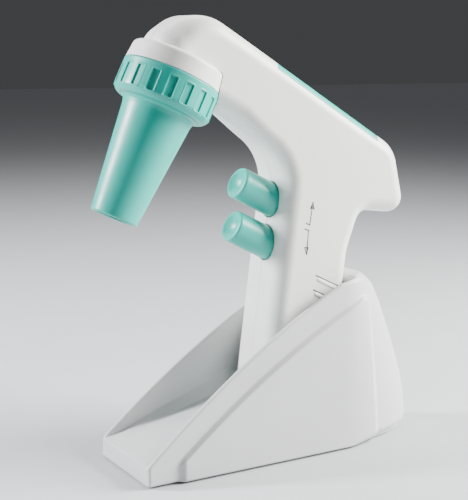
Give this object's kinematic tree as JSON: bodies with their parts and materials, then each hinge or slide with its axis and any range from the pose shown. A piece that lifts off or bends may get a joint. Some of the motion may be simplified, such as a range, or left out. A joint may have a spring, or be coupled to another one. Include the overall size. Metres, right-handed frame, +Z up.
{
  "type": "motorised pipette controller with bench stand",
  "caption": "Pistol-grip pipette controller with a tapered nosepiece, ring nut, round finger triggers, hatch-covered arm and a wedge-shaped bench stand.",
  "frame": {"origin": "middle of the stand's footprint, at bench level", "axes": "+Z up, -Y towards the nosepiece, +X the user's left-hand side"},
  "size_m": [0.05, 0.1624, 0.1923],
  "materials": {
    "white_plastic": "moulded, semi-gloss",
    "teal_plastic": "moulded, gloss",
    "soft_grey": "soft liner, matt",
    "rubber_black": "matt",
    "steel": "satin",
    "silicone_grey": "silicone, matt",
    "filter_plastic": "moulded, matt",
    "dark_plastic": "moulded, matt",
    "valve_plastic": "moulded, matt",
    "motor_can": "drawn can",
    "rotor_brass": "turned",
    "silicone_hose": "silicone, satin",
    "battery_wrap": "shrink film",
    "board_green": "solder mask"
  },
  "bodies": {
    "stand": {"stand_shell": "white_plastic", "stand_base": "white_plastic", "stand_socket": "soft_grey", "stand_feet": "rubber_black", "stand_screws": "steel"},
    "handset": {"housing_left": "white_plastic", "housing_right": "white_plastic", "cover_pin": "steel", "housing_screws": "steel", "nose_collar": "white_plastic", "nose_port": "dark_plastic", "aspirate_spring": "steel", "dispense_spring": "steel", "valve_block": "valve_plastic", "trigger_switches": "dark_plastic", "pump_motor": "motor_can", "pump_head": "dark_plastic", "pump_rod": "valve_plastic", "pump_diaphragm": "rubber_black", "motor_cradle": "rubber_black", "nose_hose": "silicone_hose", "pump_hoses": "silicone_hose", "battery_cell": "battery_wrap", "battery_tray": "dark_plastic", "circuit_board": "board_green", "charge_jack": "dark_plastic"},
    "aspirate": {"aspirate_trigger": "teal_plastic", "aspirate_plunger": "steel"},
    "dispense": {"dispense_trigger": "teal_plastic", "dispense_plunger": "steel"},
    "nosepiece": {"nose_cone": "teal_plastic", "cone_seal": "rubber_black", "pipette_adapter": "silicone_grey", "membrane_filter": "filter_plastic"},
    "ring": {"ring_nut": "teal_plastic"},
    "cover": {"battery_cover": "teal_plastic"},
    "rotor": {"motor_rotor": "rotor_brass"}
  },
  "joints": [
    {"name": "handset_lift", "type": "slide", "parent": "stand", "child": "handset", "axis": [0, 0.1184, 0.993], "range_m": [0, 0.09]},
    {"name": "aspirate_press", "type": "slide", "parent": "handset", "child": "aspirate", "axis": [0, 0.8949, -0.4462], "range_m": [0, 0.004], "stiffness_N_per_m": 400, "springref_m": -0.003, "deforming": ["aspirate_spring"]},
    {"name": "dispense_press", "type": "slide", "parent": "handset", "child": "dispense", "axis": [0, 0.8949, -0.4462], "range_m": [0, 0.004], "stiffness_N_per_m": 400, "springref_m": -0.003, "deforming": ["dispense_spring"]},
    {"name": "nosepiece_unscrew", "type": "slide", "parent": "handset", "child": "nosepiece", "axis": [0, -0.4321, -0.9018], "range_m": [0, 0.006]},
    {"name": "ring_nut_turn", "type": "hinge", "parent": "nosepiece", "child": "ring", "pos_m": [0, -0.0512, 0.1675], "axis": [0, -0.4321, -0.9018], "range_deg": [0, 720]},
    {"name": "battery_cover_open", "type": "hinge", "parent": "handset", "child": "cover", "pos_m": [0, 0.04817, 0.13902], "axis": [-1, 0, 0], "range_deg": [0, 70]},
    {"name": "motor_spin", "type": "hinge", "parent": "handset", "child": "rotor", "pos_m": [0, 0.00541, 0.01005], "axis": [0, 0.1184, 0.993], "continuous": true}
  ],
  "couplings": [
    {"joint": "nosepiece_unscrew", "follows": "ring_nut_turn", "m_per_rad": 0.00047746}
  ]
}
